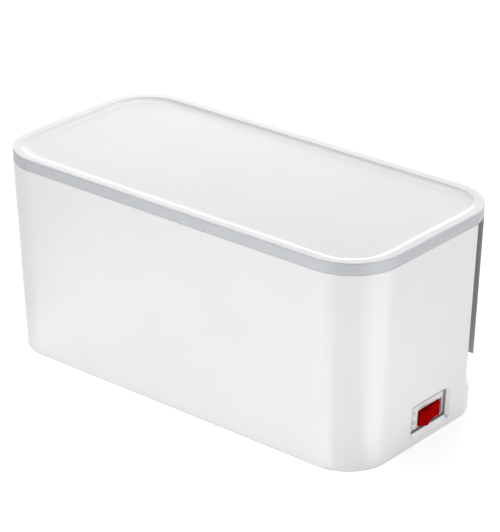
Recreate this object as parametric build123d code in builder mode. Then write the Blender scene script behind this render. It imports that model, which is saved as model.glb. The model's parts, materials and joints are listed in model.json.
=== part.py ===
from build123d import *
import math
import os

# Cord-organizer box with a built-in power strip. Millimetres, +Z up.
# +X is the end with the rocker switch, -Y is the front, +Y is the open cord side.
# The origin is on the floor, under the middle of the box.

# ---------------------------------------------------------------- driving dimensions
LENGTH = 300.0  # lid outline along X
DEPTH = 145.6  # lid outline along Y
CORNER_R = 34.7  # lid outline's corner radius
BODY_TOP = 132.4  # top edge of the housing
BASE_EDGE = 1.0  # the housing's lower edge hangs this far above the floor
DRAFT = 2.2  # degrees that every body wall leans inwards towards the base
WALL = 2.6

LID_BOTTOM = BODY_TOP + 0.1
LID_TOP = 140.1
BAND_THICK = 1.2  # the silver band is let into the lid's side by its own thickness
BAND_TOP_LIP = 0.4  # white edge that covers the top of the band
RIM_WIDTH = 5.5  # flat rim around the lid's recessed top
SLOPE_WIDTH = 4.8
RECESS_DEPTH = 2.0
LID_PLATE = 2.2
SKIRT_INSET = 3.0  # inner face of the lid's side wall
RIB_INSET = 3.3
RIB_WALL = 1.8
RIB_BOTTOM = 126.4

# The end walls stop at REAR_CUT_Y. Behind it only a low rear wall remains.
REAR_CUT_Y = 43.5
REAR_WALL_TOP = 16.0
REAR_CUT_FILLET = 4.0
BASE_EDGE_R = 0.7

FLAP_START_Y = 57.0  # the grey flap's two end faces, towards the front
FLAP_BOTTOM = 36.8
FLAP_WALL = 3.0
FLAP_DRAFT = 1.7  # degrees
FLANGE_TOP = 129.0
FLANGE_THICK = 2.5
FLANGE_INSET = 15.0

LID_BOSS_R = 3.5
LID_PILOT_R = 1.1
LID_PILOT_DEPTH = 6.0
FLAP_HOLE_R = 1.5
PAN_HEAD_R = 2.6
PAN_HEAD_HEIGHT = 1.9
PAN_HEAD_EDGE_R = 0.7
PAN_SHANK_R = 1.0
PAN_SHANK_LENGTH = 7.5

COVER_BOTTOM = 2.0
COVER_TOP = 4.3
LEDGE_THICK = 2.4
LEDGE_WIDTH = 3.0
FIT_GAP = 0.4  # clearance between the housing and the plates inside it
FOOT_R = 6.0
FOOT_SEAT = 0.8  # how far each foot is let into the bottom cover
FOOT_EDGE_R = 0.8

DECK_TOP = 38.6
DECK_THICK = 2.6
DECK_EDGE_R = 2.0
SKIRT_REAR_Y = 38.0

OUTLET_COUNT = 5
OUTLET_PITCH = 48.0
OUTLET_FIRST_X = -108.0
OUTLET_Y = -14.0
OUTLET_FACE = 39.2
OUTLET_PROUD = 0.5  # insert face above the deck
OUTLET_BOTTOM = 16.0
OUTLET_CORNER_R = 3.0
OUTLET_EDGE_R = 0.5
OUTLET_FLANGE_EDGE = 2.2  # the flange under the deck is this much wider all round
OUTLET_FLANGE_THICK = 2.0
OUTLET_BODY_INSET = 1.6
SLOT_WIDTH = 2.6
SLOT_LENGTH = 7.4
POST_REACH = 17.5  # posts under each outlet, from its middle along X and Y
POST_R = 1.8

# Each contact is (x, y, turn about Z) from the middle of its outlet.
LIVE_CONTACTS = [(6.35, 11.0, 0), (6.85, -2.5, 30)]
NEUTRAL_CONTACTS = [(-6.35, 11.0, 0), (-6.85, -2.5, -30)]
EARTH_CONTACTS = [(0.0, -12.0, 0)]

BAR_THICK = 0.8
BAR_WIDTH = 4.5
EARTH_BAR_WIDTH = 5.0
BRANCH_WIDTH = 3.0
TAB_WIDTH = 6.0
TAB_TOP = 30.0

BOSS_R = 4.0
BOSS_PILOT_R = 1.25
BOSS_PILOT_DEPTH = 14.0
SCREW_SHANK_R = 1.2
SCREW_HEAD_R = 2.7
SCREW_TIP = 15.0
RECESS_LENGTH = 2.8  # the cross recess in every screw head
RECESS_WIDTH = 0.6
BASE_SCREWS = [(-128, -50), (-48, -50), (48, -50), (128, -50), (-132, 27), (-48, 27), (48, 27), (109, 27)]
FLAP_SCREWS = [(-110, 62), (-40, 62), (40, 62), (110, 62)]
FEET = [(-115, -45), (115, -45), (-115, 45), (115, 45)]

SWITCH_Y = 9.6
SWITCH_Z = 15.4
# A shallow dish with sloping sides surrounds a straight-sided seat for the switch.
# All depths are measured inwards from the end wall's surface.
SEAT_SHIFT = (-2.9, 1.9)  # the seat's middle from the switch's, along Y and up the wall
SEAT_LENGTH = 35.5
SEAT_HEIGHT = 18.8
SEAT_CORNER_R = 1.2
SEAT_DEPTH = 4.5
DISH_EDGE = 2.7  # width of the slope between the wall and the seat
DISH_CORNER_R = 3.4
DISH_DEPTH = 1.7
PAD_LENGTH = 46.0
PAD_HEIGHT = 25.6
PAD_DEPTH = 6.6
PAD_CORNER_R = 3.0
PAD_SHIFT = (-2.2, 2.0)  # keeps the pad clear of the bottom cover
GASKET_WALL = 0.6
GASKET_GAP = 0.05  # between the gasket and the parts on both its sides
BEZEL_FACE = 3.0
BEZEL_CHAMFER = 0.3
CASE_LENGTH = 27.8
CASE_HEIGHT = 13.2
CASE_DEPTH = 22.0
WELL_LENGTH = 25.0
WELL_HEIGHT = 11.1
WELL_DEPTH = 13.0
WELL_CORNER_R = 0.5
ROCKER_LENGTH = 23.8
ROCKER_HEIGHT = 10.5
ROCKER_TILT = 10.5  # degrees either side of the middle
ROCKER_CROWN = 4.9  # crests above the pivot in the middle position
ROCKER_DISH = 1.4  # how far its concave face dips between the crests
ROCKER_SLANT = 4.2  # length of the sloping end outside each crest
ROCKER_CREST_R = 0.8
ROCKER_EDGE_R = 0.5
PIVOT_DEPTH = 4.8
TRUNNION_R = 1.2
TRUNNION_GAP = 0.06
TERMINAL_OFFSETS = (-7.4, 7.6)
TERMINAL_LENGTH = 10.0
TERMINAL_WIDTH = 6.3

GLAND_X = -108.0
GLAND_Z = 22.0
GLAND_INNER_Y = 31.0
GLAND_OUTER_Y = 46.0
GLAND_BORE_R = 4.0
GLAND_NECK_R = 6.0
GLAND_INNER_R = 8.0  # flange behind the skirt
GLAND_OUTER_R = 8.5  # flange outside the skirt
GLAND_FLANGE_THICK = 2.5
GLAND_TIP_R = 6.2

WIRE_R = 1.4
SOLDER_GAP = 0.15  # between a wire's end and the brass it is joined to
SHEATH_END_Y = GLAND_INNER_Y - 2.0  # a cord's sheath would end here, and its wires go on

os.makedirs("parts", exist_ok=True)


# ---------------------------------------------------------------- shared shapes
def lean(z, draft=DRAFT):
    """How far the drafted wall stands inside the lid's outline at height z."""
    return (BODY_TOP - z) * math.tan(math.radians(draft))


def drafted_block(z_low, z_high, inset, draft=DRAFT):
    """The body's outline between two heights, drawn in by inset."""
    edge = inset + lean(z_high, draft)
    with BuildPart() as block:
        with BuildSketch(Plane((0, 0, z_high), z_dir=(0, 0, -1))):
            RectangleRounded(LENGTH - 2 * edge, DEPTH - 2 * edge, CORNER_R - edge)
        extrude(amount=z_high - z_low, taper=draft)
    return block.part


def drafted_ring(z_low, z_high, outer_inset, inner_inset, draft=DRAFT):
    with BuildPart() as ring:
        add(drafted_block(z_low, z_high, outer_inset, draft))
        add(drafted_block(z_low - 1, z_high + 1, inner_inset, draft), mode=Mode.SUBTRACT)
    return ring.part


def lid_block(z_low, z_high, inset):
    """The lid's upright outline between two heights, drawn in by inset."""
    with BuildPart() as block:
        with BuildSketch(Plane.XY.offset(z_low)):
            RectangleRounded(LENGTH - 2 * inset, DEPTH - 2 * inset, CORNER_R - inset)
        extrude(amount=z_high - z_low)
    return block.part


def lid_ring(z_low, z_high, outer_inset, inner_inset):
    with BuildPart() as ring:
        add(lid_block(z_low, z_high, outer_inset))
        add(lid_block(z_low - 1, z_high + 1, inner_inset), mode=Mode.SUBTRACT)
    return ring.part


def slab(y_low, y_high, z_low, z_high):
    """A block as long as the box, used to cut everything between two depths and heights."""
    with BuildPart(Plane((0, (y_low + y_high) / 2, (z_low + z_high) / 2))) as block:
        Box(LENGTH + 20, y_high - y_low, z_high - z_low)
    return block.part


def in_front_of(y):
    return slab(-DEPTH, y, -10, LID_TOP + 10)


def behind(y):
    return slab(y, DEPTH, -10, LID_TOP + 10)


def save(piece, name):
    piece.part.label = name
    export_step(piece.part, f"parts/{name}.step")


wall_x = LENGTH / 2 - lean(SWITCH_Z)
draft_sin = math.sin(math.radians(DRAFT))
draft_cos = math.cos(math.radians(DRAFT))
# The right end wall at the switch: x runs along +Y, y up the wall, z out of it.
switch_plane = Plane((wall_x, SWITCH_Y, SWITCH_Z), x_dir=(0, 1, 0), z_dir=(draft_cos, 0, -draft_sin))
outlet_xs = [OUTLET_FIRST_X + OUTLET_PITCH * index for index in range(OUTLET_COUNT)]


# ---------------------------------------------------------------- housing
def seat_outline(grow, corner_r):
    """The switch seat's outline on the current workplane, larger all round by grow."""
    with BuildSketch() as shape:
        with Locations(SEAT_SHIFT):
            RectangleRounded(SEAT_LENGTH + 2 * grow, SEAT_HEIGHT + 2 * grow, corner_r)
    return shape.sketch


def make_switch_pad():
    """Thickens the end wall behind the switch."""
    with BuildPart() as pad:
        with BuildSketch(switch_plane.offset(-PAD_DEPTH)):
            with Locations(PAD_SHIFT):
                RectangleRounded(PAD_LENGTH, PAD_HEIGHT, PAD_CORNER_R)
        extrude(amount=PAD_DEPTH - 1)
    return pad.part


def make_switch_opening():
    """The dish, the seat below it and the hole for the switch's case."""
    overcut = 0.5
    spread = DISH_EDGE * (1 + overcut / DISH_DEPTH)
    with BuildPart() as opening:
        with BuildSketch(switch_plane.offset(overcut)):
            add(seat_outline(spread, DISH_CORNER_R + overcut))
        with BuildSketch(switch_plane.offset(-DISH_DEPTH)):
            add(seat_outline(0, SEAT_CORNER_R))
        loft()
        with BuildSketch(switch_plane.offset(-SEAT_DEPTH)):
            add(seat_outline(0, SEAT_CORNER_R))
        extrude(amount=SEAT_DEPTH - DISH_DEPTH)
        with BuildSketch(switch_plane):
            Rectangle(CASE_LENGTH + 0.6, CASE_HEIGHT + 0.6)
        extrude(amount=-PAD_DEPTH - 1)
    return opening.part


# The bottom cover bears on the lower ledge, and the socket deck on the upper one.
upper_ledge_top = DECK_TOP - DECK_THICK - 0.1
lower_ledge = drafted_ring(COVER_TOP + 0.1, COVER_TOP + LEDGE_THICK, WALL - 1, WALL + LEDGE_WIDTH)
with BuildPart() as upper_ledge:
    add(drafted_ring(upper_ledge_top - LEDGE_THICK, upper_ledge_top, WALL - 1, WALL + LEDGE_WIDTH))
    add(behind(SKIRT_REAR_Y - DECK_THICK - FIT_GAP), mode=Mode.SUBTRACT)

with BuildPart() as housing:
    add(drafted_block(BASE_EDGE, BODY_TOP, 0))
    add(drafted_block(BASE_EDGE - 1, BODY_TOP + 1, WALL), mode=Mode.SUBTRACT)
    base_rim = housing.edges().group_by(Axis.Z)[0]
    fillet(base_rim, BASE_EDGE_R)
    add(lower_ledge)
    add(upper_ledge.part)
    add(make_switch_pad())
    add(make_switch_opening(), mode=Mode.SUBTRACT)
    # The open cord side, with rounded inner corners where it meets the low rear wall.
    with BuildSketch(Plane.YZ.offset(-LENGTH)) as cord_side:
        with BuildLine():
            Polyline(
                (REAR_CUT_Y, LID_TOP),
                (REAR_CUT_Y, REAR_WALL_TOP),
                (DEPTH, REAR_WALL_TOP),
                (DEPTH, LID_TOP),
                close=True,
            )
        make_face()
        inner_corner = cord_side.vertices().group_by(Axis.X)[0].sort_by(Axis.Y)[0]
        fillet(inner_corner, REAR_CUT_FILLET)
    extrude(amount=2 * LENGTH, mode=Mode.SUBTRACT)

save(housing, "housing")


# ---------------------------------------------------------------- bottom cover, feet and screws
with BuildPart() as bottom_cover:
    add(drafted_block(COVER_BOTTOM, COVER_TOP, WALL + FIT_GAP))
    # Short posts hold the outlet inserts up against the deck.
    reaches = (-POST_REACH, POST_REACH)
    post_spots = [(x + dx, OUTLET_Y + dy) for x in outlet_xs for dx in reaches for dy in reaches]
    with BuildSketch(Plane.XY.offset(COVER_TOP - 0.5)):
        with Locations(*post_spots):
            Circle(POST_R)
    extrude(amount=OUTLET_BOTTOM - 0.1 - COVER_TOP + 0.5)
    with BuildSketch(Plane.XY.offset(COVER_BOTTOM)):
        with Locations(*FEET):
            Circle(FOOT_R + 0.2)
    extrude(amount=FOOT_SEAT, mode=Mode.SUBTRACT)
    with Locations(*[Location((x, y, COVER_BOTTOM), (180, 0, 0)) for x, y in BASE_SCREWS]):
        hole_r = SCREW_SHANK_R + 0.3
        head_room_r = SCREW_HEAD_R + 0.2
        CounterSinkHole(radius=hole_r, counter_sink_radius=head_room_r, depth=10, counter_sink_angle=90)

save(bottom_cover, "bottom_cover")

for index, (foot_x, foot_y) in enumerate(FEET, start=1):
    with BuildPart(Plane((foot_x, foot_y, 0))) as foot:
        Cylinder(FOOT_R, COVER_BOTTOM + FOOT_SEAT, align=(Align.CENTER, Align.CENTER, Align.MIN))
        fillet(foot.edges().group_by(Axis.Z)[0], FOOT_EDGE_R)
    save(foot, f"foot_{index}")


def countersunk_screw(x, y):
    """One screw, driven from below, with a cross recess in its head."""
    head_bottom = COVER_BOTTOM + 0.1
    head_top = head_bottom + SCREW_HEAD_R - SCREW_SHANK_R
    with BuildPart() as screw:
        with BuildSketch(Plane.XZ):
            with BuildLine():
                Polyline(
                    (0, head_bottom),
                    (SCREW_HEAD_R, head_bottom),
                    (SCREW_SHANK_R, head_top),
                    (SCREW_SHANK_R, SCREW_TIP - 1),
                    (0, SCREW_TIP),
                    close=True,
                )
            make_face()
        revolve(axis=Axis.Z)
        with BuildSketch(Plane.XY.offset(head_bottom)):
            Rectangle(RECESS_LENGTH, RECESS_WIDTH)
            Rectangle(RECESS_WIDTH, RECESS_LENGTH)
        extrude(amount=0.9, mode=Mode.SUBTRACT)
    return screw.part.moved(Location((x, y, 0)))


with BuildPart() as base_screws:
    for x, y in BASE_SCREWS:
        add(countersunk_screw(x, y))
save(base_screws, "base_screws")


# ---------------------------------------------------------------- socket deck
with BuildPart() as socket_deck:
    add(drafted_block(COVER_TOP + 0.1, DECK_TOP, WALL + FIT_GAP))
    add(slab(-DEPTH, SKIRT_REAR_Y - DECK_THICK, 0, DECK_TOP - DECK_THICK), mode=Mode.SUBTRACT)
    add(behind(SKIRT_REAR_Y), mode=Mode.SUBTRACT)
    # Room for the housing's lower ledge at both ends of the skirt.
    room_top = COVER_TOP + LEDGE_THICK + 0.2
    add(drafted_ring(COVER_TOP - 0.5, room_top, WALL - 1, WALL + LEDGE_WIDTH + 0.3), mode=Mode.SUBTRACT)
    rear_edge = socket_deck.edges().filter_by(Axis.X).group_by(Axis.Z)[-1].sort_by(Axis.Y)[-1]
    fillet(rear_edge, DECK_EDGE_R)
    with BuildSketch(Plane.XY.offset(DECK_TOP)):
        with Locations(*[(x, OUTLET_Y) for x in outlet_xs]):
            RectangleRounded(OUTLET_FACE + 0.6, OUTLET_FACE + 0.6, OUTLET_CORNER_R + 0.3)
    extrude(amount=-DECK_THICK, mode=Mode.SUBTRACT)
    with BuildSketch(Plane.XY.offset(COVER_TOP + 0.1)):
        with Locations(*BASE_SCREWS):
            Circle(BOSS_R)
    extrude(amount=DECK_TOP - DECK_THICK - COVER_TOP)
    with BuildSketch(Plane.XY.offset(COVER_TOP)):
        with Locations(*BASE_SCREWS):
            Circle(BOSS_PILOT_R)
    extrude(amount=BOSS_PILOT_DEPTH, mode=Mode.SUBTRACT)
    with BuildSketch(Plane.XZ.offset(-SKIRT_REAR_Y - 1)):
        with Locations((GLAND_X, GLAND_Z)):
            Circle(GLAND_NECK_R + 0.05)
    extrude(amount=DECK_THICK + 2, mode=Mode.SUBTRACT)

save(socket_deck, "socket_deck")


# ---------------------------------------------------------------- outlets and busbars
def outlet_insert(centre_x):
    """A socket insert: face plate, flange under the deck, body, and slots from top to bottom."""
    flange_top = DECK_TOP - DECK_THICK - 0.1
    flange_size = OUTLET_FACE + 2 * OUTLET_FLANGE_EDGE
    body_size = OUTLET_FACE - 2 * OUTLET_BODY_INSET
    with BuildPart() as insert:
        with BuildSketch(Plane.XY.offset(flange_top - 1)):
            RectangleRounded(OUTLET_FACE, OUTLET_FACE, OUTLET_CORNER_R)
        extrude(amount=DECK_TOP + OUTLET_PROUD - flange_top + 1)
        fillet(insert.edges().group_by(Axis.Z)[-1], OUTLET_EDGE_R)
        with BuildSketch(Plane.XY.offset(flange_top)):
            RectangleRounded(flange_size, flange_size, OUTLET_CORNER_R + 1)
        extrude(amount=-OUTLET_FLANGE_THICK)
        with BuildSketch(Plane.XY.offset(flange_top - 1)):
            RectangleRounded(body_size, body_size, OUTLET_CORNER_R - 1)
        extrude(amount=OUTLET_BOTTOM - flange_top + 1)
        with BuildSketch(Plane.XY.offset(OUTLET_BOTTOM)):
            for x, y, turn in LIVE_CONTACTS + NEUTRAL_CONTACTS + EARTH_CONTACTS:
                with Locations(Location((x, y), turn)):
                    RectangleRounded(SLOT_WIDTH, SLOT_LENGTH, 0.4)
        extrude(amount=DECK_TOP, mode=Mode.SUBTRACT)
    return insert.part.moved(Location((centre_x, OUTLET_Y, 0)))


for index, outlet_x in enumerate(outlet_xs, start=1):
    with BuildPart() as outlet:
        add(outlet_insert(outlet_x))
    save(outlet, f"outlet_{index}")


def busbar(contacts, z_low, strip_y, strip_width, x_low, x_high):
    """A flat strip under all outlets, with a branch and an upright tab at each contact."""
    with BuildPart() as bar:
        with BuildSketch(Plane.XY.offset(z_low)):
            with Locations(((x_low + x_high) / 2, OUTLET_Y + strip_y)):
                Rectangle(x_high - x_low, strip_width)
            for outlet_x in outlet_xs:
                for x, y, turn in contacts:
                    far_y = y + math.copysign(TAB_WIDTH / 2, y - strip_y)
                    with Locations((outlet_x + x, OUTLET_Y + (strip_y + far_y) / 2)):
                        Rectangle(BRANCH_WIDTH, abs(far_y - strip_y))
        extrude(amount=BAR_THICK)
        with BuildSketch(Plane.XY.offset(z_low)):
            for outlet_x in outlet_xs:
                for x, y, turn in contacts:
                    with Locations(Location((outlet_x + x, OUTLET_Y + y), turn)):
                        Rectangle(BAR_THICK, TAB_WIDTH)
        extrude(amount=TAB_TOP - z_low)
    return bar


bar_left = OUTLET_FIRST_X - 14.0
bar_right = outlet_xs[-1] + 14.0
live_bar_z = 13.0
neutral_bar_z = 9.0
earth_bar_z = 11.0
inner_strip_y = 4.25
earth_strip_y = -11.99
live_bar = busbar(LIVE_CONTACTS, live_bar_z, inner_strip_y, BAR_WIDTH, bar_left + 4, bar_right)
neutral_bar = busbar(NEUTRAL_CONTACTS, neutral_bar_z, inner_strip_y, BAR_WIDTH, bar_left, bar_right - 4)
earth_bar = busbar(EARTH_CONTACTS, earth_bar_z, earth_strip_y, EARTH_BAR_WIDTH, bar_left, bar_right - 4)
save(live_bar, "busbar_live")
save(neutral_bar, "busbar_neutral")
save(earth_bar, "busbar_earth")


# ---------------------------------------------------------------- switch
pivot_plane = switch_plane.offset(-PIVOT_DEPTH)

# The gasket lines the seat's sides and stands proud of the bezel, which fits inside it.
gasket_outer = -GASKET_GAP
gasket_inner = gasket_outer - GASKET_WALL
bezel_edge = gasket_inner - GASKET_GAP
with BuildPart() as switch_gasket:
    with BuildSketch(switch_plane.offset(-SEAT_DEPTH + GASKET_GAP)):
        add(seat_outline(gasket_outer, SEAT_CORNER_R + gasket_outer))
        add(seat_outline(gasket_inner, SEAT_CORNER_R + gasket_inner), mode=Mode.SUBTRACT)
    extrude(amount=SEAT_DEPTH - GASKET_GAP - DISH_DEPTH - 0.05)

save(switch_gasket, "switch_gasket")

with BuildPart() as switch_frame:
    with BuildSketch(switch_plane.offset(-SEAT_DEPTH + 0.05)):
        add(seat_outline(bezel_edge, SEAT_CORNER_R + bezel_edge))
    extrude(amount=SEAT_DEPTH - 0.05 - BEZEL_FACE)
    chamfer(switch_frame.faces().sort_by(Axis.X)[-1].edges(), BEZEL_CHAMFER)
    with BuildSketch(switch_plane.offset(-CASE_DEPTH)):
        Rectangle(CASE_LENGTH, CASE_HEIGHT)
    extrude(amount=CASE_DEPTH - SEAT_DEPTH + 0.1)
    with BuildSketch(switch_plane):
        RectangleRounded(WELL_LENGTH, WELL_HEIGHT, WELL_CORNER_R)
    extrude(amount=-WELL_DEPTH, mode=Mode.SUBTRACT)
    with BuildSketch(Plane(pivot_plane.origin, x_dir=(0, 1, 0), z_dir=switch_plane.y_dir)):
        Circle(TRUNNION_R + TRUNNION_GAP)
    extrude(amount=CASE_HEIGHT / 2, both=True, mode=Mode.SUBTRACT)

save(switch_frame, "switch_frame")


half = ROCKER_LENGTH / 2
crest = half - ROCKER_SLANT
slant_foot = (half, 0.9)
shoulder = (half, -0.5)
heel = (half - 2.0, -3.4)
with BuildPart() as rocker_blank:
    # Side view in the middle position, with the pivot at the origin.
    with BuildSketch(Plane.XZ):
        with BuildLine():
            face_arc = ThreePointArc(
                (-crest, ROCKER_CROWN), (0, ROCKER_CROWN - ROCKER_DISH), (crest, ROCKER_CROWN)
            )
            Polyline(face_arc @ 1, slant_foot, shoulder, heel)
            Line(heel, (-heel[0], heel[1]))
            Polyline((-heel[0], heel[1]), (-half, shoulder[1]), (-half, slant_foot[1]), face_arc @ 0)
        make_face()
    extrude(amount=ROCKER_HEIGHT / 2, both=True)
    crest_edges = rocker_blank.edges().filter_by(Axis.Y).group_by(Axis.Z)[-1]
    fillet(crest_edges, ROCKER_CREST_R)
    crown_edges = rocker_blank.faces().filter_by(Axis.Y).edges().filter_by_position(Axis.Z, 0.5, 9)
    fillet(crown_edges, ROCKER_EDGE_R)
    with BuildSketch(Plane.XZ):
        Circle(TRUNNION_R)
    extrude(amount=CASE_HEIGHT / 2 - 0.4, both=True)

# The blank's length lies along X and its top faces +Z. It is turned to its resting tilt,
# then stood on the end wall with the raised end towards the front.
with BuildPart() as switch_rocker:
    tilted = rocker_blank.part.rotate(Axis.Y, ROCKER_TILT)
    add(pivot_plane.from_local_coords(tilted))

save(switch_rocker, "switch_rocker")

with BuildPart() as switch_terminals:
    with BuildSketch(switch_plane.offset(-CASE_DEPTH)):
        with Locations(*[(offset, 0) for offset in TERMINAL_OFFSETS]):
            Rectangle(BAR_THICK, TERMINAL_WIDTH)
    extrude(amount=-TERMINAL_LENGTH)

save(switch_terminals, "switch_terminals")


# ---------------------------------------------------------------- cord gland and internal wires
with BuildPart() as cord_gland:
    with BuildSketch(Plane.XY):
        with BuildLine():
            Polyline(
                (GLAND_BORE_R, GLAND_INNER_Y),
                (GLAND_INNER_R, GLAND_INNER_Y),
                (GLAND_INNER_R, SKIRT_REAR_Y - DECK_THICK - 0.05),
                (GLAND_NECK_R, SKIRT_REAR_Y - DECK_THICK - 0.05),
                (GLAND_NECK_R, SKIRT_REAR_Y + 0.05),
                (GLAND_OUTER_R, SKIRT_REAR_Y + 0.05),
                (GLAND_OUTER_R, SKIRT_REAR_Y + GLAND_FLANGE_THICK),
                (GLAND_TIP_R, GLAND_OUTER_Y),
                (GLAND_BORE_R, GLAND_OUTER_Y),
                close=True,
            )
        make_face()
    revolve(axis=Axis.Y)
    cord_gland.part.position = (GLAND_X, 0, GLAND_Z)

save(cord_gland, "cord_gland")


def terminal_end(offset):
    """Where a wire meets the end of a switch terminal."""
    return switch_plane.from_local_coords(Vector(offset, 0, -CASE_DEPTH - TERMINAL_LENGTH - SOLDER_GAP))


def wire(route, bend_r):
    """One insulated wire along a route of straight runs joined by arcs."""
    with BuildPart() as run:
        with BuildLine() as path:
            FilletPolyline(*route, radius=bend_r)
        with BuildSketch(Plane(origin=path.line @ 0, z_dir=path.line % 0)):
            Circle(WIRE_R)
        sweep()
    return run


supply_end = terminal_end(TERMINAL_OFFSETS[1])
switched_end = terminal_end(TERMINAL_OFFSETS[0])
bar_y = OUTLET_Y + inner_strip_y
live_z = live_bar_z + BAR_THICK / 2
neutral_z = neutral_bar_z + BAR_THICK / 2
earth_z = earth_bar_z + BAR_THICK / 2
earth_y = OUTLET_Y + earth_strip_y
left_lane_x = bar_left - 9.0

live_route = [
    (GLAND_X + 1.8, SHEATH_END_Y, GLAND_Z + 1.1),
    (GLAND_X + 1.8, 17.0, GLAND_Z + 1.1),
    (supply_end.X - 14.0, 17.0, GLAND_Z + 1.1),
    (supply_end.X - 7.0, supply_end.Y, supply_end.Z),
    (supply_end.X, supply_end.Y, supply_end.Z),
]
switched_route = [
    (switched_end.X, switched_end.Y, switched_end.Z),
    (switched_end.X - 6.0, switched_end.Y, switched_end.Z),
    (bar_right + 7.0, bar_y, live_z),
    (bar_right + SOLDER_GAP, bar_y, live_z),
]
neutral_route = [
    (GLAND_X - 1.8, SHEATH_END_Y, GLAND_Z + 1.1),
    (GLAND_X - 1.8, 19.0, GLAND_Z + 1.1),
    (left_lane_x, 6.0, 14.0),
    (left_lane_x, bar_y, neutral_z),
    (bar_left - SOLDER_GAP, bar_y, neutral_z),
]
earth_route = [
    (GLAND_X, SHEATH_END_Y, GLAND_Z - 2.0),
    (GLAND_X, 22.0, GLAND_Z - 6.0),
    (left_lane_x - 5.0, 8.0, 10.5),
    (left_lane_x - 5.0, earth_y, 10.5),
    (bar_left - SOLDER_GAP, earth_y, earth_z),
]
save(wire(live_route, 5.0), "wire_live")
save(wire(switched_route, 3.5), "wire_switched")
save(wire(neutral_route, 5.0), "wire_neutral")
save(wire(earth_route, 5.0), "wire_earth")


# ---------------------------------------------------------------- lid
recess_floor = LID_TOP - RECESS_DEPTH
plate_under = recess_floor - LID_PLATE
rim_under = LID_TOP - LID_PLATE


def recess_tool():
    """The lid's shallow recess, with a sloping side all round."""
    with BuildPart() as tool:
        for height, inset in ((LID_TOP, RIM_WIDTH), (recess_floor, RIM_WIDTH + SLOPE_WIDTH)):
            with BuildSketch(Plane.XY.offset(height)):
                RectangleRounded(LENGTH - 2 * inset, DEPTH - 2 * inset, CORNER_R - inset)
        loft()
    return tool.part


# The locating rib drops inside the housing's front and end walls.
with BuildPart() as locating_rib:
    add(lid_ring(LID_BOTTOM, rim_under + 0.5, SKIRT_INSET - 0.5, RIB_INSET + RIB_WALL))
    add(lid_ring(RIB_BOTTOM, LID_BOTTOM + 1, RIB_INSET, RIB_INSET + RIB_WALL))
    add(behind(REAR_CUT_Y - 2), mode=Mode.SUBTRACT)

with BuildPart() as lid_cover:
    add(lid_block(LID_BOTTOM, LID_TOP, 0))
    add(recess_tool(), mode=Mode.SUBTRACT)
    add(lid_block(LID_BOTTOM - 1, plate_under, SKIRT_INSET), mode=Mode.SUBTRACT)
    add(lid_ring(plate_under - 1, rim_under, SKIRT_INSET, RIM_WIDTH + 1), mode=Mode.SUBTRACT)
    band_room = lid_ring(LID_BOTTOM - 1, LID_TOP - BAND_TOP_LIP, -1, BAND_THICK)
    add(band_room, mode=Mode.SUBTRACT)
    add(locating_rib.part)
    with BuildSketch(Plane.XY.offset(FLANGE_TOP + 0.05)):
        with Locations(*FLAP_SCREWS):
            Circle(LID_BOSS_R)
    extrude(amount=plate_under + 0.5 - FLANGE_TOP)
    with BuildSketch(Plane.XY.offset(FLANGE_TOP)):
        with Locations(*FLAP_SCREWS):
            Circle(LID_PILOT_R)
    extrude(amount=LID_PILOT_DEPTH, mode=Mode.SUBTRACT)

save(lid_cover, "lid_cover")

with BuildPart() as lid_band:
    add(lid_ring(LID_BOTTOM, LID_TOP - BAND_TOP_LIP, 0, BAND_THICK - 0.05))

save(lid_band, "lid_band")


# ---------------------------------------------------------------- rear flap and its screws
with BuildPart() as rear_flap:
    add(drafted_ring(FLAP_BOTTOM, BODY_TOP, 0, FLAP_WALL, FLAP_DRAFT))
    add(drafted_ring(FLANGE_TOP - FLANGE_THICK, FLANGE_TOP, 1, FLANGE_INSET))
    add(in_front_of(FLAP_START_Y), mode=Mode.SUBTRACT)
    with BuildSketch(Plane.XY.offset(FLANGE_TOP + 1)):
        with Locations(*FLAP_SCREWS):
            Circle(FLAP_HOLE_R)
    extrude(amount=-FLANGE_THICK - 2, mode=Mode.SUBTRACT)

save(rear_flap, "rear_flap")


def pan_head_screw(x, y):
    """One screw, driven from below through the flap's flange into the lid's boss."""
    head_top = FLANGE_TOP - FLANGE_THICK - 0.05
    with BuildPart() as screw:
        with BuildSketch(Plane.XY.offset(head_top)):
            Circle(PAN_HEAD_R)
        extrude(amount=-PAN_HEAD_HEIGHT)
        fillet(screw.edges().group_by(Axis.Z)[0], PAN_HEAD_EDGE_R)
        with BuildSketch(Plane.XY.offset(head_top - PAN_HEAD_HEIGHT)):
            Rectangle(RECESS_LENGTH, RECESS_WIDTH)
            Rectangle(RECESS_WIDTH, RECESS_LENGTH)
        extrude(amount=1.0, mode=Mode.SUBTRACT)
        with BuildSketch(Plane.XY.offset(head_top)):
            Circle(PAN_SHANK_R)
        extrude(amount=PAN_SHANK_LENGTH)
    return screw.part.moved(Location((x, y, 0)))


with BuildPart() as flap_screws:
    for x, y in FLAP_SCREWS:
        add(pan_head_screw(x, y))
save(flap_screws, "flap_screws")
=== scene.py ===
import json
import math

import bmesh
import bpy
from mathutils import Matrix, Vector


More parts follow.
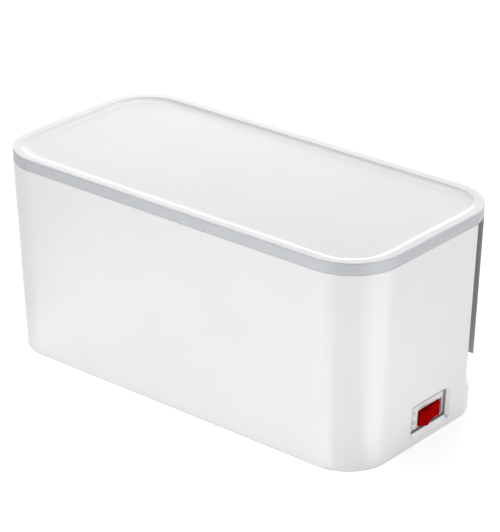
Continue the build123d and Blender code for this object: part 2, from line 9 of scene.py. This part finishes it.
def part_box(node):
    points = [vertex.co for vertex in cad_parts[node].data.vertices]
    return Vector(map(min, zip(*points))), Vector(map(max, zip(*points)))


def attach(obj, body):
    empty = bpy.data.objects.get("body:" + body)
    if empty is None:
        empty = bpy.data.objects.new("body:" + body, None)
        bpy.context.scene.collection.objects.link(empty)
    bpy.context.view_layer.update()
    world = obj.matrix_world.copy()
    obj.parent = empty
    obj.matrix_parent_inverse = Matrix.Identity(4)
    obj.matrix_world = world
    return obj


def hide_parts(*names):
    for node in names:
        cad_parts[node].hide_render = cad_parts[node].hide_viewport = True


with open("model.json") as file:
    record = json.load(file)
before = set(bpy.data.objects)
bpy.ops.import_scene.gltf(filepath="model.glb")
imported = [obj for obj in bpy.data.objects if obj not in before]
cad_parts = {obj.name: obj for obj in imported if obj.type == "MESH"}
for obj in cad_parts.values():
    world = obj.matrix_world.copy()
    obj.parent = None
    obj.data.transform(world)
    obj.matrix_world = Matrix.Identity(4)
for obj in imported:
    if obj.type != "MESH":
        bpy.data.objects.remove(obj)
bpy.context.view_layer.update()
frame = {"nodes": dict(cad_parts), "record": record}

# Cord-organizer box with a built-in power strip. Metres, in the CAD model's frame:
# +X is the end with the rocker switch, -Y is the front, +Y is the open cord side.
MM = 0.001

# ---------------------------------------------------------------- sizes taken from the frame
LID_LOW, LID_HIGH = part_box("lid_cover")
BAND_LOW, BAND_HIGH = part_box("lid_band")
FRAME_LOW, FRAME_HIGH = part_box("switch_frame")
HALF_LENGTH = LID_HIGH.x
HALF_DEPTH = LID_HIGH.y
LID_TOP = LID_HIGH.z
LID_BOTTOM = BAND_LOW.z
BAND_TOP = BAND_HIGH.z

# ---------------------------------------------------------------- sizes that its boxes don't give
# Lid: a flat rim, a hollow slope down to a flat recess, and a skirt behind the band. The slope's
# height follows a power of its width, so 1 would be straight.
CORNER_R = 34.7 * MM
BAND_THICK = 1.2 * MM
RIM_WIDTH = 5.5 * MM
SLOPE_WIDTH = 7.6 * MM
SLOPE_POWER = 2.2
RECESS_DEPTH = 2.0 * MM
RECESS_FLOOR = LID_TOP - RECESS_DEPTH
LID_PLATE = 2.2 * MM
LID_SKIRT_INSET = 3.0 * MM

# The rib under the lid, and the four bosses that the flap is screwed to.
RIB_INSET = 3.3 * MM
RIB_WALL = 1.8 * MM
RIB_REAR_Y = 41.5 * MM
RIB_LEAD_IN = 0.8 * MM
BOSS_XS = (-110 * MM, -40 * MM, 40 * MM, 110 * MM)
BOSS_Y = 62 * MM
BOSS_R = 3.5 * MM
BOSS_BORE_R = 1.1 * MM
BOSS_BORE_DEPTH = 6 * MM
BOSS_EDGE = 0.4 * MM
BOSS_FLARE = 0.6 * MM
BOSS_FLARE_HEIGHT = 1.2 * MM
BOSS_BOTTOM = 129.05 * MM

# Housing: how far its walls lean in towards the floor, and its lower edge.
DRAFT = math.radians(2.2)
BASE_HALF_LENGTH = 144.9 * MM
BASE_HALF_DEPTH = 67.7 * MM
BASE_CORNER_R = 29.6 * MM

# The bar and the ring printed on the bezel, placed from the bezel's middle.
MARKS_ACROSS = -13.3 * MM
BAR_UP = 3.4 * MM
BAR_WIDTH = 0.5 * MM
BAR_HEIGHT = 2.6 * MM
RING_DOWN = 3.2 * MM
RING_R = 1.15 * MM
RING_LINE = 0.45 * MM
INK_THICK = 0.05 * MM
INK_LIFT = 0.02 * MM

ARC_STEPS = 28
SLOPE_STEPS = 14
BOSS_STEPS = 28
RING_STEPS = 40


# ---------------------------------------------------------------- materials
class Finish:
    """A new material, with calls that add nodes to it and return their outputs."""

    def __init__(self, name):
        self.material = bpy.data.materials.new(name)
        self.material.use_nodes = True
        self.tree = self.material.node_tree
        self.shader = self.tree.nodes["Principled BSDF"]
        self.place = self.tree.nodes.new("ShaderNodeTexCoord").outputs["Object"]

    def feed(self, socket, value):
        """Gives a socket another node's output, or else a number, a vector or a colour."""
        if isinstance(value, bpy.types.NodeSocket):
            self.tree.links.new(value, socket)
        else:
            socket.default_value = value

    def fill(self, node, inputs):
        """Feeds a node's inputs by name."""
        for name, value in inputs.items():
            self.feed(node.inputs[name], value)

    def noise(self, scale, detail=2.0, stretch=None):
        """Noise over the object's own coordinates, with a scale for each axis if stretch is given."""
        place = self.place
        if stretch:
            mapping = self.tree.nodes.new("ShaderNodeMapping")
            self.fill(mapping, {"Scale": stretch, "Vector": place})
            place = mapping.outputs["Vector"]
        texture = self.tree.nodes.new("ShaderNodeTexNoise")
        self.fill(texture, {"Scale": scale, "Detail": detail, "Vector": place})
        return texture.outputs["Fac"]

    def ramp(self, value, low, high, low_at=0.3, high_at=0.7):
        """Turns a value into a colour between two colours."""
        colours = self.tree.nodes.new("ShaderNodeValToRGB")
        first, last = colours.color_ramp.elements
        first.position, last.position = low_at, high_at
        first.color, last.color = (*low, 1), (*high, 1)
        self.fill(colours, {"Fac": value})
        return colours.outputs["Color"]

    def spread(self, value, low, high):
        """Maps the middle half of a noise value to a range of numbers."""
        span = self.tree.nodes.new("ShaderNodeMapRange")
        self.fill(span, {"From Min": 0.25, "From Max": 0.75, "Value": value})
        self.fill(span, {"To Min": low, "To Max": high})
        return span.outputs["Result"]

    def bump(self, value, depth, strength):
        relief = self.tree.nodes.new("ShaderNodeBump")
        self.fill(relief, {"Strength": strength, "Distance": depth, "Height": value})
        return relief.outputs["Normal"]

    def calculate(self, operation, first, second=0.0):
        """One arithmetic node. Each operand is a number or another node's output."""
        node = self.tree.nodes.new("ShaderNodeMath")
        node.operation = operation
        self.feed(node.inputs[0], first)
        self.feed(node.inputs[1], second)
        return node.outputs["Value"]

    def total(self, first, *others):
        for other in others:
            first = self.calculate("ADD", first, other)
        return first

    def product(self, first, *others):
        for other in others:
            first = self.calculate("MULTIPLY", first, other)
        return first

    def smooth_step(self, value, start, end):
        """Rises smoothly from 0 at start to 1 at end. The start may lie above the end."""
        step = self.tree.nodes.new("ShaderNodeMapRange")
        step.interpolation_type = "SMOOTHSTEP"
        at_low, at_high = (0.0, 1.0) if start < end else (1.0, 0.0)
        self.fill(step, {"From Min": min(start, end), "From Max": max(start, end), "Value": value})
        self.fill(step, {"To Min": at_low, "To Max": at_high})
        return step.outputs["Result"]

    def patch(self, *edges):
        """1 inside soft edges and 0 outside. An edge is a value and its fade, from 0 to 1."""
        return self.product(*(self.smooth_step(value, *fade) for value, fade in edges))


def tinted(colour, change):
    return tuple(min(1.0, max(0.0, part * change)) for part in colour)


def plastic(
    name, colour, roughness,
    grain=1400, grain_depth=0.012 * MM, mottle=0.012, coat=0.0, shine=0.5, pearl=0.0,
):
    """Moulded plastic: fine spark-eroded grain, faint cloudiness and uneven gloss.

    coat is a clear layer, shine how strongly the surface reflects, and pearl how metallic it looks.
    """
    finish = Finish(name)
    cloud = finish.noise(scale=22, detail=3)
    gloss = finish.noise(scale=60, detail=4)
    finish.fill(finish.shader, {
        "Base Color": finish.ramp(cloud, tinted(colour, 1 - mottle), tinted(colour, 1 + mottle)),
        "Roughness": finish.spread(gloss, roughness - 0.03, roughness + 0.04),
        "Normal": finish.bump(finish.noise(scale=grain), grain_depth, strength=0.2),
        "IOR": 1.49,
        "Specular IOR Level": shine,
        "Metallic": pearl,
    })
    if coat:
        finish.fill(finish.shader, {"Coat Weight": coat, "Coat Roughness": 0.08})
    return finish.material


def brushed_band(name, colour):
    """Silver-grey trim with fine streaks that run round the lid."""
    finish = Finish(name)
    streaks = finish.noise(scale=1.0, detail=3, stretch=(90, 90, 5200))
    dust = finish.noise(scale=900)
    finish.fill(finish.shader, {
        "Base Color": finish.ramp(streaks, tinted(colour, 0.93), tinted(colour, 1.07)),
        "Roughness": finish.spread(dust, 0.34, 0.46),
        "Normal": finish.bump(streaks, 0.01 * MM, strength=0.4),
        "Metallic": 0.5,
    })
    return finish.material


def metal(name, colour, roughness):
    """Stamped or plated metal with faint scratches and stains."""
    finish = Finish(name)
    stain = finish.noise(scale=140, detail=5)
    scratches = finish.noise(scale=1.0, stretch=(2600, 160, 160))
    finish.fill(finish.shader, {
        "Base Color": finish.ramp(stain, tinted(colour, 0.82), tinted(colour, 1.08)),
        "Roughness": finish.spread(scratches, roughness - 0.08, roughness + 0.1),
        "Normal": finish.bump(scratches, 0.01 * MM, strength=0.3),
        "Metallic": 1.0,
    })
    return finish.material


def striped_insulation(name, ground, stripe):
    """Earth wire: bands of the second colour over the first."""
    finish = Finish(name)
    wave = finish.tree.nodes.new("ShaderNodeTexWave")
    finish.fill(wave, {"Scale": 70, "Distortion": 0.4, "Vector": finish.place})
    finish.fill(finish.shader, {
        "Base Color": finish.ramp(wave.outputs["Fac"], ground, stripe, low_at=0.62, high_at=0.66),
        "Roughness": finish.spread(finish.noise(scale=500), 0.4, 0.55),
    })
    return finish.material


def rocker_plastic(name, colour):
    """Red plastic with no shine: fine grain, and faintly deeper and lighter patches."""
    finish = Finish(name)
    cloud = finish.noise(scale=180, detail=3)
    gloss = finish.noise(scale=700, detail=3)
    finish.fill(finish.shader, {
        "Base Color": finish.ramp(cloud, tinted(colour, 0.9), tinted(colour, 1.1)),
        "Roughness": finish.spread(gloss, 0.30, 0.38),
        "Normal": finish.bump(finish.noise(scale=4200), 0.01 * MM, strength=0.25),
        "Specular IOR Level": 0.0,
    })
    return finish.material


MATERIALS = {
    "shell_white": plastic("shell_white", (0.87, 0.87, 0.87), 0.33, shine=0.08, pearl=0.25),
    "lid_white": plastic("lid_white", (0.855, 0.86, 0.875), 0.36, shine=0.14),
    "deck_white": plastic("deck_white", (0.70, 0.70, 0.70), 0.45, grain=1800),
    "outlet_white": plastic("outlet_white", (0.86, 0.86, 0.86), 0.28, coat=0.2),
    "bezel_white": plastic("bezel_white", (0.90, 0.89, 0.885), 0.25, coat=0.3),
    # Painted shade: the dark grey gasket lining the switch's cut-out stands for the shaded gap round the
    # bezel, and its grey is set to that shade.
    "gasket_grey": plastic("gasket_grey", (0.34, 0.35, 0.36), 0.65, grain=1200, mottle=0.06),
    "band_silver": brushed_band("band_silver", (0.54, 0.555, 0.58)),
    "flap_grey": plastic("flap_grey", (0.60, 0.605, 0.61), 0.42, grain=1500, mottle=0.04),
    "rocker_red": rocker_plastic("rocker_red", (0.40, 0.0015, 0.0012)),
    "brass": metal("brass", (0.78, 0.55, 0.22), 0.3),
    "steel_zinc": metal("steel_zinc", (0.62, 0.63, 0.65), 0.32),
    "rubber_grey": plastic(
        "rubber_grey", (0.06, 0.06, 0.063), 0.7, grain=1200, grain_depth=0.05 * MM, mottle=0.1
    ),
    "wire_brown": plastic("wire_brown", (0.13, 0.05, 0.02), 0.45, mottle=0.08),
    "wire_blue": plastic("wire_blue", (0.02, 0.09, 0.35), 0.45, mottle=0.08),
    "wire_green_yellow": striped_insulation("wire_green_yellow", (0.03, 0.22, 0.04), (0.75, 0.62, 0.03)),
    "ink_grey": plastic("ink_grey", (0.22, 0.22, 0.23), 0.6, mottle=0.1),
}


def paint(piece, slot):
    piece.data.materials.clear()
    piece.data.materials.append(MATERIALS[slot])


# ---------------------------------------------------------------- mesh helpers
def mesh_object(name, vertices, faces):
    mesh = bpy.data.meshes.new(name)
    mesh.from_pydata(vertices, [], faces)
    mesh.update()
    piece = bpy.data.objects.new(name, mesh)
    bpy.context.scene.collection.objects.link(piece)
    return piece


def soften(piece, sharp_degrees):
    """Smooth shading that keeps the hard edges, weighted towards the large faces."""
    mesh = piece.data
    mesh.polygons.foreach_set("use_smooth", [True] * len(mesh.polygons))
    mesh.set_sharp_from_angle(angle=math.radians(sharp_degrees))
    weighted = piece.modifiers.new("weighted_normals", "WEIGHTED_NORMAL")
    weighted.keep_sharp = True
    weighted.weight = 80


def face_outwards(piece):
    work = bmesh.new()
    work.from_mesh(piece.data)
    bmesh.ops.recalc_face_normals(work, faces=work.faces)
    work.to_mesh(piece.data)
    work.free()


def join(first, *others):
    """Moves the other pieces' meshes into the first one's."""
    work = bmesh.new()
    for piece in (first, *others):
        work.from_mesh(piece.data)
    work.to_mesh(first.data)
    work.free()
    for piece in others:
        bpy.data.objects.remove(piece)


def outline(inset):
    """The lid's rounded rectangle, drawn in by inset, anticlockwise from the rear of the right end."""
    radius = CORNER_R - inset
    centre_x, centre_y = HALF_LENGTH - CORNER_R, HALF_DEPTH - CORNER_R
    points = []
    for side_x, side_y, start in ((1, 1, 0), (-1, 1, 90), (-1, -1, 180), (1, -1, 270)):
        for step in range(ARC_STEPS + 1):
            angle = math.radians(start + 90 * step / ARC_STEPS)
            x = side_x * centre_x + radius * math.cos(angle)
            y = side_y * centre_y + radius * math.sin(angle)
            points.append((x, y))
    return points


def quarter_round(centre_inset, centre_height, radius, start_degrees, end_degrees, steps):
    """Profile points of a rounded edge. 0 degrees points inwards and 90 points up."""
    points = []
    for step in range(steps + 1):
        angle = math.radians(start_degrees + (end_degrees - start_degrees) * step / steps)
        inset, height = centre_inset + radius * math.cos(angle), centre_height + radius * math.sin(angle)
        points.append((inset, height))
    return points


def ring_faces(rows, columns, closed):
    """Faces between rows of points, each of which goes all the way round."""
    faces = []
    for row in range(rows if closed else rows - 1):
        here, there = row * columns, (row + 1) % rows * columns
        for column in range(columns):
            after = (column + 1) % columns
            faces.append((here + column, there + column, there + after, here + after))
    return faces


def end_caps(rows, columns):
    """The faces that close the first row and the last one."""
    first, last = range(columns), range((rows - 1) * columns, rows * columns)
    return [tuple(first), tuple(reversed(last))]


def sweep_round(name, profile, closed):
    """Carries a profile of (inset, height) points round the lid. An open profile ends in flat caps."""
    vertices = [(x, y, height) for inset, height in profile for x, y in outline(inset)]
    columns = len(vertices) // len(profile)
    faces = ring_faces(len(profile), columns, closed)
    if not closed:
        faces += end_caps(len(profile), columns)
    return mesh_object(name, vertices, faces)


def stand_for(piece, node, body, slot):
    """Puts a finished piece on its body, in its material, in place of a CAD node."""
    paint(piece, slot)
    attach(piece, body)
    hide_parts(node)


def polished(node, name, body, slot, edge, angle=35):
    """A CAD node's shape with its flat faces cleaned up and its edges sharper than angle rounded."""
    merge_distance, flat_angle = 0.002 * MM, math.radians(0.6)
    piece = bpy.data.objects.new(name, frame["nodes"][node].data.copy())
    bpy.context.scene.collection.objects.link(piece)
    work = bmesh.new()
    work.from_mesh(piece.data)
    bmesh.ops.remove_doubles(work, verts=work.verts, dist=merge_distance)
    bmesh.ops.dissolve_limit(
        work, verts=work.verts, edges=work.edges, angle_limit=flat_angle, use_dissolve_boundaries=False
    )
    bmesh.ops.recalc_face_normals(work, faces=work.faces)
    work.to_mesh(piece.data)
    work.free()
    rounding = piece.modifiers.new("rounded_edges", "BEVEL")
    rounding.width = edge
    rounding.segments = 3
    rounding.limit_method = "ANGLE"
    rounding.angle_limit = math.radians(angle)
    rounding.use_clamp_overlap = True
    soften(piece, sharp_degrees=40)
    stand_for(piece, node, body, slot)


# ---------------------------------------------------------------- lid
def lid_profile():
    """Section through the lid, from the recess over the rim and back underneath."""
    rim_r = 0.3 * MM
    slope_foot = RIM_WIDTH + SLOPE_WIDTH
    flat_inset = slope_foot + 2 * MM
    under_rim, under_recess = LID_TOP - LID_PLATE, RECESS_FLOOR - LID_PLATE
    under_step = RIM_WIDTH + MM
    points = [(flat_inset, RECESS_FLOOR)]
    for step in range(SLOPE_STEPS + 1):
        along = step / SLOPE_STEPS
        rise = RECESS_DEPTH * along ** SLOPE_POWER
        points.append((slope_foot - SLOPE_WIDTH * along, RECESS_FLOOR + rise))
    points += quarter_round(rim_r, LID_TOP - rim_r, rim_r, 90, 180, steps=5)
    points += [(0, BAND_TOP), (BAND_THICK, BAND_TOP), (BAND_THICK, LID_BOTTOM)]
    points += [(LID_SKIRT_INSET, LID_BOTTOM), (LID_SKIRT_INSET, under_rim)]
    points += [(under_step, under_rim), (under_step, under_recess), (flat_inset, under_recess)]
    return points


def locating_rib():
    """The rib under the lid's front and ends, which drops inside the housing."""
    gap = 0.2 * MM
    low, high = LID_LOW.z, LID_TOP - LID_PLATE - gap
    outer, inner = RIB_INSET, RIB_INSET + RIB_WALL
    profile = [(outer, high), (outer, low + RIB_LEAD_IN), (outer + RIB_LEAD_IN / 2, low)]
    profile += [(inner, low), (inner, high)]
    rows = [[(x, y, height) for x, y in outline(inset)] for inset, height in profile]
    keep = [index for index, (x, y, height) in enumerate(rows[0]) if y < RIB_REAR_Y]
    # The kept points run from the left end's rear round the front to the right end's rear.
    split = next(i for i, index in enumerate(keep) if i and keep[i - 1] != index - 1)
    order = keep[split:] + keep[:split]
    vertices = []
    for row in rows:
        stretch = [Vector(row[index]) for index in order]
        first, last = stretch[0].copy(), stretch[-1].copy()
        first.y = last.y = RIB_REAR_Y
        vertices += [first, *stretch, last]
    columns = len(vertices) // len(rows)
    faces = []
    for row in range(len(rows)):
        here, there = row * columns, (row + 1) % len(rows) * columns
        for column in range(columns - 1):
            faces.append((here + column, there + column, there + column + 1, here + column + 1))
    starts = range(0, len(vertices), columns)
    faces += [tuple(starts), tuple(start + columns - 1 for start in reversed(starts))]
    return mesh_object("locating_rib", vertices, faces)


def screw_boss(x, y, top):
    """A boss under the lid, flared where it meets the plate, with a blind screw hole in its end."""
    profile = [(BOSS_R + BOSS_FLARE, top), (BOSS_R, top - BOSS_FLARE_HEIGHT)]
    profile += [(BOSS_R, BOSS_BOTTOM + BOSS_EDGE), (BOSS_R - BOSS_EDGE, BOSS_BOTTOM)]
    profile += [(BOSS_BORE_R + BOSS_EDGE / 2, BOSS_BOTTOM), (BOSS_BORE_R, BOSS_BOTTOM + BOSS_EDGE / 2)]
    profile += [(BOSS_BORE_R, BOSS_BOTTOM + BOSS_BORE_DEPTH)]
    vertices = []
    for radius, height in profile:
        for step in range(BOSS_STEPS):
            angle = 2 * math.pi * step / BOSS_STEPS
            vertices.append((x + radius * math.cos(angle), y + radius * math.sin(angle), height))
    faces = ring_faces(len(profile), BOSS_STEPS, closed=False) + end_caps(len(profile), BOSS_STEPS)
    return mesh_object("boss", vertices, faces)


def make_lid_cover():
    cover = sweep_round("lid_top", lid_profile(), closed=False)
    overlap = 0.3 * MM
    boss_top = RECESS_FLOOR - LID_PLATE + overlap
    join(cover, locating_rib(), *(screw_boss(x, BOSS_Y, boss_top) for x in BOSS_XS))
    face_outwards(cover)
    soften(cover, sharp_degrees=32)
    stand_for(cover, "lid_cover", "lid", "lid_white")


def make_lid_band():
    edge, gap = 0.12 * MM, 0.05 * MM
    inner = BAND_THICK - gap
    section = quarter_round(edge, BAND_TOP - edge, edge, 90, 180, steps=3)
    section += quarter_round(edge, LID_BOTTOM + edge, edge, 180, 270, steps=3)
    section += [(inner, LID_BOTTOM), (inner, BAND_TOP)]
    band = sweep_round("lid_side_band", section, closed=True)
    face_outwards(band)
    soften(band, sharp_degrees=32)
    stand_for(band, "lid_band", "lid", "band_silver")


# ---------------------------------------------------------------- switch marks
def bezel_face():
    """A matrix for the middle of the bezel's face: x towards the rear, y up the wall, z out of it."""
    half_height = (FRAME_HIGH.z - FRAME_LOW.z) / 2
    middle = (FRAME_LOW + FRAME_HIGH) / 2
    middle.x = FRAME_HIGH.x - half_height * math.sin(DRAFT)
    lean, rise = math.sin(DRAFT), math.cos(DRAFT)
    tilt = Matrix(((0, lean, rise), (1, 0, 0), (0, rise, -lean)))
    return Matrix.Translation(middle) @ tilt.to_4x4()


def add_bar(work):
    bar = bmesh.ops.create_cube(work, size=1.0)["verts"]
    bmesh.ops.scale(work, vec=(BAR_WIDTH, BAR_HEIGHT, INK_THICK), verts=bar)
    bmesh.ops.translate(work, vec=(MARKS_ACROSS, BAR_UP, INK_LIFT), verts=bar)


def add_ring(work):
    inner_r = RING_R - RING_LINE
    low, high = INK_LIFT - INK_THICK / 2, INK_LIFT + INK_THICK / 2
    circles = []
    for radius, height in ((RING_R, high), (inner_r, high), (inner_r, low), (RING_R, low)):
        circle = []
        for step in range(RING_STEPS):
            angle = 2 * math.pi * step / RING_STEPS
            x = MARKS_ACROSS + radius * math.cos(angle)
            y = radius * math.sin(angle) - RING_DOWN
            circle.append(work.verts.new((x, y, height)))
        circles.append(circle)
    for row, here in enumerate(circles):
        there = circles[(row + 1) % len(circles)]
        for step in range(RING_STEPS):
            after = (step + 1) % RING_STEPS
            work.faces.new((here[step], here[after], there[after], there[step]))


def make_marks():
    """A plain bar above a plain ring, printed on the bezel's front margin."""
    work = bmesh.new()
    add_bar(work)
    add_ring(work)
    bmesh.ops.recalc_face_normals(work, faces=work.faces)
    work.transform(bezel_face())
    marks = mesh_object("switch_marks", [], [])
    work.to_mesh(marks.data)
    work.free()
    paint(marks, "ink_grey")
    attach(marks, "base")


# ---------------------------------------------------------------- everything else
def make_polished_pieces():
    polished("housing", "body_shell", "base", "shell_white", 0.3 * MM, angle=20)
    polished("rear_flap", "rear_flap_panel", "lid", "flap_grey", 0.4 * MM)
    polished("switch_frame", "switch_bezel", "base", "bezel_white", 0.12 * MM)
    polished("switch_rocker", "rocker_button", "rocker", "rocker_red", 0.15 * MM)
    polished("socket_deck", "deck_plate", "base", "deck_white", 0.4 * MM)
    polished("bottom_cover", "base_plate", "base", "shell_white", 0.3 * MM)
    for index in range(1, 6):
        polished(f"outlet_{index}", f"socket_insert_{index}", "base", "outlet_white", 0.25 * MM)


def paint_frame_nodes():
    slots = {entry["node"]: entry["material_slot"] for entry in frame["record"]["subparts"]}
    for name, node in frame["nodes"].items():
        paint(node, slots[name])


# ---------------------------------------------------------------- floor
# How strongly the paper glows, and how much more or less it does in places. The extra glow is painted
# light: the walls mirror most of it as painted highlight bands, and some of it fills in the box's shade
# on the paper. The losses are painted shade.
FLOOR_GLOW = 0.83
RIGHT_PATCH_GLOW = 0.63
FRONT_PATCH_GLOW = 0.44
FRONT_EDGE_GLOW = 0.25
CORNER_PATCH_GLOW = 0.24
SHADE_GLOW = 0.08
LEFT_LOSS = 0.11
# Painted shadow: how much less the paper glows under the box.
UNDER_BOX_PAINTED_SHADOW = 0.55


def right_patch(paper, x, y):
    """Painted light beside the right end: a fan that opens from near the front-right corner. The
    front-right corner and the switch's dish mirror it as painted highlights.
    """
    fan_x, fan_y = 144 * MM, -47 * MM
    front_side, rear_side = (-0.8, 0.1), (1.1, 0.5)
    near_end, far_end = (-5 * MM, 30 * MM), (600 * MM, 300 * MM)
    across = paper.calculate("SUBTRACT", x, fan_x)
    along = paper.calculate("SUBTRACT", y, fan_y)
    bearing = paper.calculate("DIVIDE", along, paper.calculate("MAXIMUM", across, MM))
    return paper.patch((bearing, front_side), (bearing, rear_side), (across, near_end), (across, far_end))


def heading_off_corner(paper, x, y):
    """How far a place lies to the right of the front-right corner for each metre in front of it."""
    corner_x, corner_y = 126.6 * MM, -70 * MM
    ahead = paper.calculate("MAXIMUM", paper.calculate("SUBTRACT", corner_y, y), MM)
    return paper.calculate("DIVIDE", paper.calculate("SUBTRACT", x, corner_x), ahead)


def front_patch(paper, x, y, heading):
    """Painted light in front: a slanting stretch as wide as the box, which the front and the front-right
    corner mirror as painted highlight bands. It glows most along its right side.
    """
    slant = math.radians(39.8)
    left_side, right_side, brighter_side = (-78 * MM, -45 * MM), (0.06, -0.12), (-1.6, -0.5)
    near_end, far_end = (-50 * MM, -80 * MM), (-550 * MM, -350 * MM)
    sideways = paper.calculate(
        "SUBTRACT", paper.product(x, math.cos(slant)), paper.product(y, math.sin(slant))
    )
    shape = paper.patch((sideways, left_side), (heading, right_side), (y, near_end), (y, far_end))
    extra = paper.product(paper.smooth_step(heading, *brighter_side), FRONT_EDGE_GLOW)
    return paper.product(shape, paper.total(extra, FRONT_PATCH_GLOW))


def corner_patch(paper, x, y, heading):
    """Painted light off the front-right corner: a dimmer stretch that carries on from the front one,
    mirrored by the corner as a painted highlight.
    """
    left_side, right_side = (-0.12, 0.06), (600 * MM, 400 * MM)
    near_end, far_end = (-20 * MM, -80 * MM), (-550 * MM, -350 * MM)
    return paper.patch((heading, left_side), (x, right_side), (y, near_end), (y, far_end))


def shaded_patch(paper, x, y):
    """Painted light to the right, where the box's own shade falls: it fills in that shade on the paper.
    """
    near_end, far_end, rear_side = (100 * MM, 200 * MM), (900 * MM, 600 * MM), (120 * MM, 40 * MM)
    return paper.patch((x, near_end), (x, far_end), (y, rear_side))


def left_patch(paper, x, y):
    """Painted shade to the left, where the paper catches more of the lamps' light: less glow there, so
    the paper throws less light on the box's left end.
    """
    near_end, far_end = (-140 * MM, -190 * MM), (-700 * MM, -500 * MM)
    front_side, rear_side = (-300 * MM, -120 * MM), (500 * MM, 300 * MM)
    return paper.patch((x, near_end), (x, far_end), (y, front_side), (y, rear_side))


def inside_footprint(paper, x, y):
    """1 where the paper lies under the housing, and 0 outside its lower edge: the mask of the painted
    shadow under the box.
    """
    edge = (BASE_CORNER_R - 0.2 * MM, BASE_CORNER_R - 1.2 * MM)
    over = []
    for place, half in ((x, BASE_HALF_LENGTH), (y, BASE_HALF_DEPTH)):
        beyond = paper.calculate("SUBTRACT", paper.calculate("ABSOLUTE", place), half - BASE_CORNER_R)
        beyond = paper.calculate("MAXIMUM", beyond, 0.0)
        over.append(paper.product(beyond, beyond))
    distance = paper.calculate("SQRT", paper.total(*over))
    return paper.smooth_step(distance, *edge)


def paper_glow(paper):
    """How strongly the paper glows at each place, with its painted light and painted shade."""
    axes = paper.tree.nodes.new("ShaderNodeSeparateXYZ")
    paper.fill(axes, {"Vector": paper.place})
    x, y = axes.outputs["X"], axes.outputs["Y"]
    heading = heading_off_corner(paper, x, y)
    glow = paper.total(
        paper.product(right_patch(paper, x, y), RIGHT_PATCH_GLOW),
        front_patch(paper, x, y, heading),
        paper.product(corner_patch(paper, x, y, heading), CORNER_PATCH_GLOW),
        paper.product(shaded_patch(paper, x, y), SHADE_GLOW),
        paper.product(left_patch(paper, x, y), -LEFT_LOSS),
        FLOOR_GLOW,
    )
    # Painted shadow: the paper glows much less under the box, which draws a dark contact line along its
    # lower edge.
    painted_shadow_under_box = paper.product(inside_footprint(paper, x, y), UNDER_BOX_PAINTED_SHADOW)
    return paper.product(glow, paper.calculate("SUBTRACT", 1.0, painted_shadow_under_box))


def make_floor():
    """A sheet of paper that glows, with painted light and painted shade in its glow. It glows more in
    front of the box and beside its right end, and the walls mirror that as soft painted highlight bands;
    it glows a little less at its left, and much less beneath it as a painted shadow."""
    reach = 4
    corners = [(-reach, -reach, 0), (reach, -reach, 0), (reach, reach, 0), (-reach, reach, 0)]
    floor = mesh_object("floor", corners, [(0, 1, 2, 3)])
    paper = Finish("floor_paper")
    paper.fill(paper.shader, {
        "Base Color": paper.ramp(paper.noise(scale=3, detail=4), (0.24, 0.24, 0.24), (0.26, 0.26, 0.26)),
        "Roughness": 0.9,
        "Specular IOR Level": 0.1,
        "Emission Color": (1, 1, 1, 1),
        "Emission Strength": paper_glow(paper),
    })
    floor.data.materials.append(paper.material)


# ---------------------------------------------------------------- light and camera
def soft_light(name, place, width, height, power):
    """A rectangular lamp aimed at the box's middle. Its power is in watts."""
    middle = Vector((0, 0, LID_TOP / 2))
    light = bpy.data.lights.new(name, "AREA")
    light.shape = "RECTANGLE"
    light.size, light.size_y = width, height
    light.energy = power
    lamp = bpy.data.objects.new(name, light)
    lamp.location = place
    lamp.rotation_euler = (middle - Vector(place)).to_track_quat("-Z", "Y").to_euler()
    bpy.context.scene.collection.objects.link(lamp)


def make_lights():
    soft_light("rear_panel", (-0.8, 1.25, 0.24), width=1.8, height=0.44, power=14)
    soft_light("overhead", (-0.7, 0.95, 1.6), width=1.0, height=1.0, power=34.5)
    soft_light("front", (-0.4, -2.0, 0.6), width=1.0, height=1.0, power=4.5)
    soft_light("right", (1.3, 1.4, 0.65), width=0.5, height=0.5, power=6)
    world = bpy.data.worlds.new("studio")
    world.use_nodes = True
    surroundings = world.node_tree.nodes["Background"]
    surroundings.inputs["Color"].default_value = (1, 1, 1, 1)
    surroundings.inputs["Strength"].default_value = 0.1
    bpy.context.scene.world = world
    bpy.context.scene.view_settings.view_transform = "Standard"


def make_camera():
    """A long lens off the front-right corner, looking down on the lid, with a trace of roll."""
    place = (0.9083, -1.0819, 0.7241)
    azimuth, elevation, roll = math.radians(39.82), math.radians(24.67), math.radians(0.18)
    right = Vector((math.cos(azimuth), math.sin(azimuth), 0))
    level_back = Vector((math.sin(azimuth), -math.cos(azimuth), 0))
    back = level_back * math.cos(elevation) + Vector((0, 0, math.sin(elevation)))
    up = back.cross(right)
    rolled_right = right * math.cos(roll) + up * math.sin(roll)
    rolled_up = up * math.cos(roll) - right * math.sin(roll)
    turn = Matrix((rolled_right, rolled_up, back)).transposed()
    camera = bpy.data.cameras.new("camera")
    camera.lens = 165.2
    camera.sensor_width = 36
    camera.clip_start, camera.clip_end = 0.05, 50
    eye = bpy.data.objects.new("camera", camera)
    eye.matrix_world = Matrix.Translation(place) @ turn.to_4x4()
    bpy.context.scene.collection.objects.link(eye)
    bpy.context.scene.camera = eye


make_camera()
paint_frame_nodes()
make_lid_cover()
make_lid_band()
make_polished_pieces()
make_marks()
make_floor()
make_lights()
